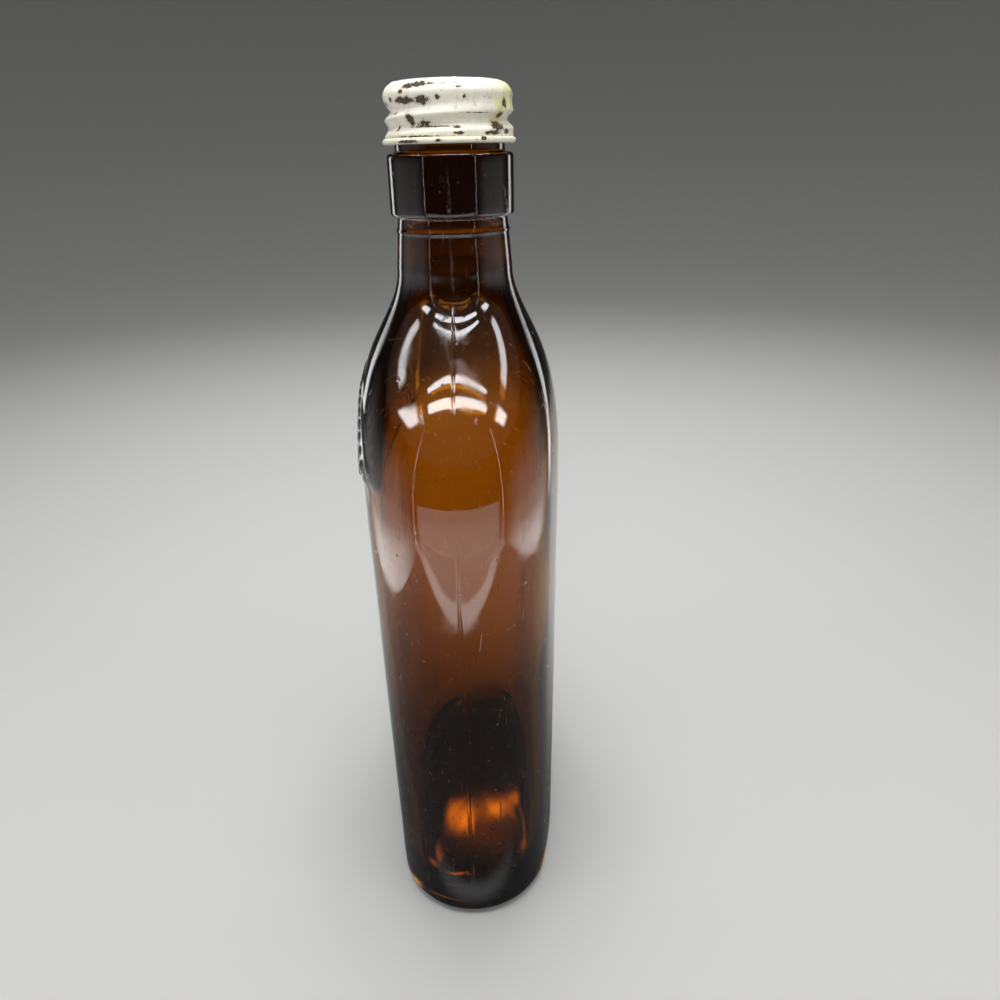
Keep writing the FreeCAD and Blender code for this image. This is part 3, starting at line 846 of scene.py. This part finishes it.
def make_cove():
    """A pale floor that bends up into a wall all round, with painted shade that shows only in reflections and
    through the glass.
    """
    stage = bpy.context.scene.flask_stage
    flat, bend = stage.floor_radius, stage.cove_radius
    points = [(0.0, 0.0)] + [(radius, 0.0) for radius in spread(0, flat, 8)]
    for turn in arc(0, 90, 24)[1:]:
        points.append((flat + bend * math.sin(turn), bend * (1 - math.cos(turn))))
    points += [(flat + bend, height) for height in spread(bend, 1.6 * bend, 4)]
    cove = draw_profile("pale_cove", points)
    spin_profile(cove, 96)
    cove.data.attributes.remove(cove.data.attributes["station"])
    cove.data.flip_normals()
    bpy.ops.object.shade_smooth()
    material, nodes, shader, spot = new_material("pale floor")
    path = nodes.add("LightPath").outputs
    before = nodes.add("VectorMath", {0: spot, 1: (0.07, 0.0, 0.0)}, operation="DISTANCE")
    front = before.outputs["Value"]
    away = nodes.add("VectorMath", {0: spot}, operation="LENGTH").outputs["Value"]
    shade = (*stage.floor_shade, 1)
    # Painted shadow near the flask's front: to glossy and transmission rays the floor takes the darker shade
    # there, and again far off; the camera sees it evenly pale
    near = nodes.blend(nodes.fade(front, 0.07, 0.21), shade, (*stage.floor_colour, 1))
    in_glass = nodes.blend(nodes.fade(away, 0.5, 1.0), near, shade)
    seen = nodes.sum("MAXIMUM", path["Is Camera Ray"], path["Is Diffuse Ray"])
    nodes.feed(shader.inputs["Base Color"], nodes.blend(seen, in_glass, (*stage.floor_colour, 1)))
    shader.inputs["Roughness"].default_value = 1.0
    shader.inputs["Specular IOR Level"].default_value = 0.0
    cove.data.materials.append(material)


def light_room():
    """Even light from all round."""
    stage = bpy.context.scene.flask_stage
    world = bpy.data.worlds.new("plain room")
    world.use_nodes = True
    background = world.node_tree.nodes["Background"]
    background.inputs["Color"].default_value = (1, 1, 1, 1)
    background.inputs["Strength"].default_value = stage.room_light
    bpy.context.scene.world = world


def soften(lamp, edge):
    """Lets a lamp's light fall off towards its edges. Edge is the soft share of each half."""
    lamp.use_nodes = True
    nodes = Nodes(lamp.node_tree)
    face = nodes.add("NewGeometry").outputs["Parametric"]
    split = nodes.add("SeparateXYZ", {0: face})
    fades = []
    for axis in ("X", "Y"):
        off = nodes.sum("ABSOLUTE", nodes.sum("SUBTRACT", split.outputs[axis], 0.5))
        fades.append(nodes.fade(off, 0.5, 0.5 * (1 - edge)))
    emission = lamp.node_tree.nodes["Emission"]
    nodes.feed(emission.inputs["Strength"], nodes.sum("MULTIPLY", *fades))


def add_lamp(name, place, facing, width, height, glow, edge=0.0):
    """A flat lamp that faces a direction, with the brightness of its face."""
    lamp = bpy.data.lights.new(name, "AREA")
    lamp.shape = "RECTANGLE"
    lamp.size, lamp.size_y = width, height
    lamp.energy = glow * math.pi * width * height
    if edge:
        soften(lamp, edge)
    holder = bpy.data.objects.new(name, lamp)
    holder.location = place
    holder.rotation_euler = Vector(facing).to_track_quat("-Z", "Y").to_euler()
    bpy.context.collection.objects.link(holder)
    return holder


def add_card(name, place, facing, width, height, glow, edge=0.0):
    """A pale card that only shows in gloss."""
    card = add_lamp(name, place, facing, width, height, glow, edge)
    card.visible_diffuse = card.visible_transmission = False
    return card


DOWN, UP, BACK = (0.0, 0.0, -1.0), (0.0, 0.0, 1.0), (-1.0, 0.0, 0.0)
SIDES = (("left", -1, 0.18), ("right", 1, 0.21))  # name, side of the flask and distance of its card


def place_lamps():
    """Soft lamps overhead, behind and in front, and long lamps over the shoulders."""
    stage = bpy.context.scene.flask_stage
    glow, strip = stage.overhead_glow, stage.strip_glow
    soft = (
        add_lamp("overhead_lamp", (-0.03, 0.0, 0.9), DOWN, 0.5, 0.5, glow, 0.6),
        add_lamp("rear_lamp", (-0.34, 0.0, 0.5), DOWN, 0.24, 1.0, 0.42 * glow, 0.6),
        add_lamp("front_lamp", (0.6, 0.0, 0.5), (-0.6, 0.0, -0.32), 0.4, 0.4, 0.6 * glow, 0.6),
    )
    for lamp in soft:
        lamp.visible_glossy = lamp.visible_transmission = False
    add_lamp("front_strip", (0.135, 0.0, 0.45), DOWN, 0.024, 0.31, strip)
    add_lamp("rear_strip", (0.095, 0.0, 0.45), DOWN, 0.011, 0.29, strip)
    for name, side, _ in SIDES:
        add_lamp(f"{name}_front_end", (0.13, side * 0.275, 0.45), DOWN, 0.07, 0.12, 0.9 * strip, 0.5)
        add_lamp(f"{name}_strip", (0.0, side * 0.25, 0.45), DOWN, 0.1, 0.06, 0.6 * strip, 0.5)


def place_cards():
    """Pale cards low at the sides and the front, which give the glass its reflections."""
    card = bpy.context.scene.flask_stage.card_glow
    for name, side, away in SIDES:
        inwards, behind = (0.0, -side, 0.0), (0.19, -side * 0.2, 0.0)
        before_card = (0.03, side * (away - 0.001), 0.0)
        add_card(f"{name}_card", (0.03, side * away, 0.0), inwards, 0.32, 0.5, 1.1 * card, 0.7)
        add_card(f"{name}_foot_card", before_card, inwards, 0.32, 0.13, 2.9 * card, 0.9)
        add_card(f"{name}_rim_card", (-0.19, side * 0.2, 0.13), behind, 0.07, 0.3, 2.8 * card, 0.6)
        add_card(f"{name}_post", (0.19, side * 0.2, 0.225), BACK, 0.004, 0.45, 7.0 * card)
    add_card("front_card", (0.21, 0.0, 0.003), UP, 0.08, 0.44, 1.3 * card, 0.1)
    add_card("front_edge", (0.182, 0.0, 0.004), UP, 0.024, 0.42, 2.4 * card, 0.6)
    add_card("front_flap", (0.245, 0.0, 0.065), BACK, 0.48, 0.135, 1.5 * card, 0.12)
    add_card("heel_card", (0.05, 0.0, 0.001), UP, 0.011, 0.065, 0.55 * card, 1.0)


# Lights under the base: name, x, y, width, depth and brightness. Each lies a little over the last.
UNDER_BASE = (
    ("dash", 0.0325, -0.0055, 0.0025, 0.011, 2.8),
    ("left_spot", 0.03, -0.0148, 0.006, 0.008, 3.0),
    ("left_line", 0.0245, -0.0112, 0.013, 0.003, 1.3),
    ("right_spot", 0.0235, 0.016, 0.009, 0.006, 3.0),
    ("right_line", 0.0165, 0.0158, 0.022, 0.0035, 1.6),
    ("dim", 0.012, 0.002, 0.034, 0.03, 0.4),
    ("near", 0.0105, -0.005, 0.019, 0.014, 4.2),
    ("middle", 0.0075, 0.006, 0.0145, 0.014, 3.2),
    ("far", 0.0035, 0.0125, 0.0095, 0.008, 2.6),
)
LOWEST_LIGHT, LIGHT_STEP = 0.3 * MM, 0.1 * MM


def light_base():
    """Small soft lights under the base, which only show through the glass."""
    card = bpy.context.scene.flask_stage.card_glow
    for step, (name, x, y, width, depth, glow) in enumerate(UNDER_BASE):
        place = (x, y, LOWEST_LIGHT + LIGHT_STEP * step)
        light = add_card(f"{name}_under_base", place, UP, width, depth, glow * card, 1.0)
        light.visible_glossy, light.visible_transmission = False, True


def aim_camera():
    """The camera looks down at the flask's near seam."""
    stage = bpy.context.scene.flask_stage
    camera = bpy.data.objects.new("camera", bpy.data.cameras.new("camera"))
    bpy.context.collection.objects.link(camera)
    camera.data.sensor_width = 36.0
    camera.data.lens = stage.camera_lens
    camera.data.clip_start = 0.01
    place = Matrix.Translation((stage.camera_distance, stage.camera_side, stage.camera_height))
    ahead = Matrix.Rotation(0.5 * math.pi, 4, "Z")
    tilt = Matrix.Rotation(0.5 * math.pi - stage.camera_tilt, 4, "X")
    camera.matrix_world = place @ ahead @ tilt @ Matrix.Rotation(-stage.camera_roll, 4, "Z")
    bpy.context.scene.camera = camera


# Operators, panel and the run


class FLASK_OT_stage(bpy.types.Operator):
    """Makes the pale studio, its lamps and the camera"""

    bl_idname = "flask.stage"
    bl_label = "Stage"

    def execute(self, context):
        context.scene.view_settings.view_transform = "Standard"
        scratches_group()
        specks_group()
        make_cove()
        light_room()
        place_lamps()
        place_cards()
        light_base()
        aim_camera()
        return {"FINISHED"}


class FLASK_OT_glass(bpy.types.Operator):
    """Makes the amber glass of the flask"""

    bl_idname = "flask.glass"
    bl_label = "Flask glass"

    def execute(self, context):
        make_glass()
        return {"FINISHED"}


class FLASK_OT_cap(bpy.types.Operator):
    """Makes the enamelled screw cap"""

    bl_idname = "flask.cap"
    bl_label = "Screw cap"

    def execute(self, context):
        make_cap()
        return {"FINISHED"}


class FLASK_PT_panel(bpy.types.Panel):
    """The flask's operators and sizes"""

    bl_label = "Liquor flask"
    bl_space_type = "VIEW_3D"
    bl_region_type = "UI"
    bl_category = "Flask"

    def draw(self, context):
        scene = context.scene
        for operator, groups in PANEL_ROWS:
            self.layout.operator(operator)
            for settings in groups:
                group = getattr(scene, settings)
                for name in group.__annotations__:
                    self.layout.prop(group, name)


PANEL_ROWS = (
    ("flask.stage", ("flask_stage",)),
    ("flask.glass", ("flask_glass", "flask_colours")),
    ("flask.cap", ("flask_cap",)),
)
SETTINGS = {
    "flask_stage": FlaskStage,
    "flask_glass": FlaskGlassSizes,
    "flask_cap": ScrewCapSizes,
    "flask_colours": FlaskColours,
}
TOOLS = (FLASK_OT_stage, FLASK_OT_glass, FLASK_OT_cap, FLASK_PT_panel)


def register():
    for name, group in SETTINGS.items():
        bpy.utils.register_class(group)
        setattr(bpy.types.Scene, name, bpy.props.PointerProperty(type=group))
    for tool in TOOLS:
        bpy.utils.register_class(tool)


def unregister():
    for tool in reversed(TOOLS):
        bpy.utils.unregister_class(tool)
    for name, group in SETTINGS.items():
        delattr(bpy.types.Scene, name)
        bpy.utils.unregister_class(group)


def main():
    register()
    bpy.ops.flask.stage()
    bpy.ops.flask.glass()
    bpy.ops.flask.cap()


if __name__ == "__main__":
    main()
